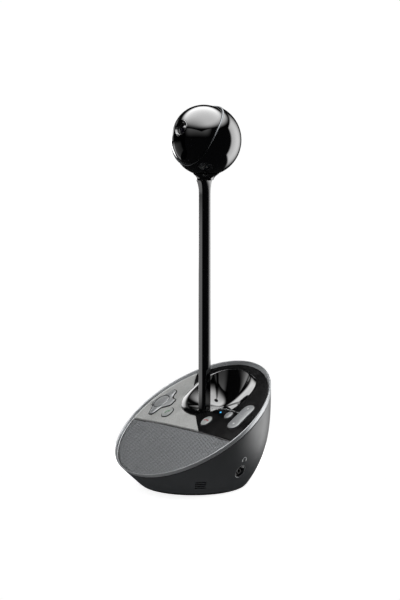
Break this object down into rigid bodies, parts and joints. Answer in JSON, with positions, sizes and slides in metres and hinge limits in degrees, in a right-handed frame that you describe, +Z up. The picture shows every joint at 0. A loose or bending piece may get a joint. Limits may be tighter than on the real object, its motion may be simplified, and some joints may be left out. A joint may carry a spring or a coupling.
{
  "type": "conference ptz camera",
  "caption": "Desktop conference camera: a ball head that pans and tilts on a removable stalk, over a sloping round base with speaker grille, keys and a glossy cradle.",
  "frame": {"origin": "centre of the footprint on the table, under the centre of the round rim", "axes": "+Z up, the front (speaker grille side) faces -Y, +X to the right as seen from behind the front"},
  "size_m": [0.1598, 0.1599, 0.386],
  "materials": {
    "body_plastic": "charcoal moulded plastic with a fine satin texture",
    "rim_plastic": "dark silver satin paint on plastic",
    "grille_sheet": "perforated steel sheet in dark grey satin paint",
    "silver_face": "silver satin paint on plastic",
    "gloss_black": "piano black gloss plastic",
    "matte_black": "black moulded plastic, satin",
    "grey_keys": "grey satin painted keys",
    "pale_keys": "pale grey translucent-looking keys",
    "soft_black": "black rubber",
    "bare_steel": "plated steel",
    "brass_gears": "machined brass",
    "cone_paper": "coated black cone paper",
    "circuit_board": "green solder mask on glass fibre",
    "lens_glass": "coated optical glass, nearly black",
    "blue_light": "blue light pipe"
  },
  "bodies": {
    "base": {"base_shell": "body_plastic", "bezel_ring": "rim_plastic", "foot_ring": "soft_black", "bottom_screw_1": "bare_steel", "bottom_screw_2": "bare_steel", "bottom_screw_3": "bare_steel", "bottom_screw_4": "bare_steel", "bottom_plate": "matte_black", "ballast_weight": "bare_steel", "silver_panel": "silver_face", "key_panel": "gloss_black", "rear_panel": "gloss_black", "speaker_grille": "grille_sheet", "trim_strip": "bare_steel", "status_led": "blue_light", "cradle_bowl": "gloss_black", "inner_deck": "matte_black", "speaker_basket": "bare_steel", "speaker_magnet": "bare_steel", "speaker_cone": "cone_paper", "key_board": "circuit_board", "main_board": "circuit_board", "stalk_socket": "matte_black", "headphone_jack": "matte_black", "usb_port": "bare_steel", "power_jack": "matte_black", "microphone": "bare_steel"},
    "dpad_stem": {"dpad_stem": "matte_black"},
    "dpad": {"dpad_key": "grey_keys"},
    "centre_key": {"centre_key": "grey_keys"},
    "answer": {"answer_button": "pale_keys"},
    "hangup": {"hangup_button": "pale_keys"},
    "mute": {"mute_button": "grey_keys"},
    "volume": {"volume_rocker": "grey_keys"},
    "stalk": {"stalk_tube": "gloss_black", "stalk_plug": "matte_black", "stalk_cable": "soft_black"},
    "latch": {"stalk_latch": "matte_black"},
    "neck": {"neck": "gloss_black", "pan_motor": "bare_steel"},
    "head": {"head_cup": "gloss_black", "tilt_bracket": "bare_steel", "tilt_pin_left": "bare_steel", "tilt_pin_right": "bare_steel", "tilt_motor": "bare_steel"},
    "ball": {"ball_shell": "gloss_black", "lens_window": "lens_glass", "lens_ring": "gloss_black", "lens_barrel": "matte_black", "lens_glass": "lens_glass", "sensor_board": "circuit_board", "tilt_gear": "brass_gears"},
    "pinion": {"tilt_pinion": "brass_gears"}
  },
  "joints": [
    {"name": "stalk_lift", "type": "slide", "parent": "base", "child": "stalk", "axis": [0, 0, 1], "range_m": [0, 0.03]},
    {"name": "latch_press", "type": "slide", "parent": "stalk", "child": "latch", "axis": [0, -1, 0], "range_m": [0, 0.0008], "stiffness_N_per_m": 600, "springref_m": -0.0006},
    {"name": "head_lift", "type": "slide", "parent": "stalk", "child": "neck", "axis": [0, 0, 1], "range_m": [0, 0.02]},
    {"name": "head_pan", "type": "hinge", "parent": "neck", "child": "head", "pos_m": [0, 0.0186, 0.317], "axis": [0, 0, 1], "range_deg": [-90, 90]},
    {"name": "ball_tilt", "type": "hinge", "parent": "head", "child": "ball", "pos_m": [0, 0.0154, 0.3521], "axis": [1, 0, 0], "range_deg": [-17, 38]},
    {"name": "tilt_pinion_spin", "type": "hinge", "parent": "head", "child": "pinion", "pos_m": [0.0219, 0.0307, 0.3521], "axis": [1, 0, 0], "range_deg": [-145, 65]},
    {"name": "dpad_tilt_up_down", "type": "hinge", "parent": "base", "child": "dpad_stem", "pos_m": [-0.0586, 0.01347, 0.06958], "axis": [1, 0, 0], "range_deg": [-2, 2], "stiffness_Nm_per_rad": 0.5},
    {"name": "dpad_tilt_left_right", "type": "hinge", "parent": "dpad_stem", "child": "dpad", "pos_m": [-0.0586, 0.01347, 0.06958], "axis": [0, 0.8599, 0.5105], "range_deg": [-2, 2], "stiffness_Nm_per_rad": 0.5},
    {"name": "centre_key_press", "type": "slide", "parent": "dpad", "child": "centre_key", "axis": [0, 0.5105, -0.8599], "range_m": [0, 0.0004], "stiffness_N_per_m": 400, "springref_m": -0.0006},
    {"name": "answer_press", "type": "slide", "parent": "base", "child": "answer", "axis": [0, 0.5105, -0.8599], "range_m": [0, 0.0008], "stiffness_N_per_m": 400, "springref_m": -0.0006},
    {"name": "hangup_press", "type": "slide", "parent": "base", "child": "hangup", "axis": [0, 0.5105, -0.8599], "range_m": [0, 0.0008], "stiffness_N_per_m": 400, "springref_m": -0.0006},
    {"name": "mute_press", "type": "slide", "parent": "base", "child": "mute", "axis": [0, 0.5105, -0.8599], "range_m": [0, 0.0008], "stiffness_N_per_m": 400, "springref_m": -0.0006},
    {"name": "volume_rock", "type": "hinge", "parent": "base", "child": "volume", "pos_m": [0.0576, 0.01469, 0.07263], "axis": [1, 0, 0], "range_deg": [-1.5, 1.5], "stiffness_Nm_per_rad": 0.5}
  ],
  "couplings": [
    {"joint": "tilt_pinion_spin", "follows": "ball_tilt", "ratio": -3.75}
  ]
}
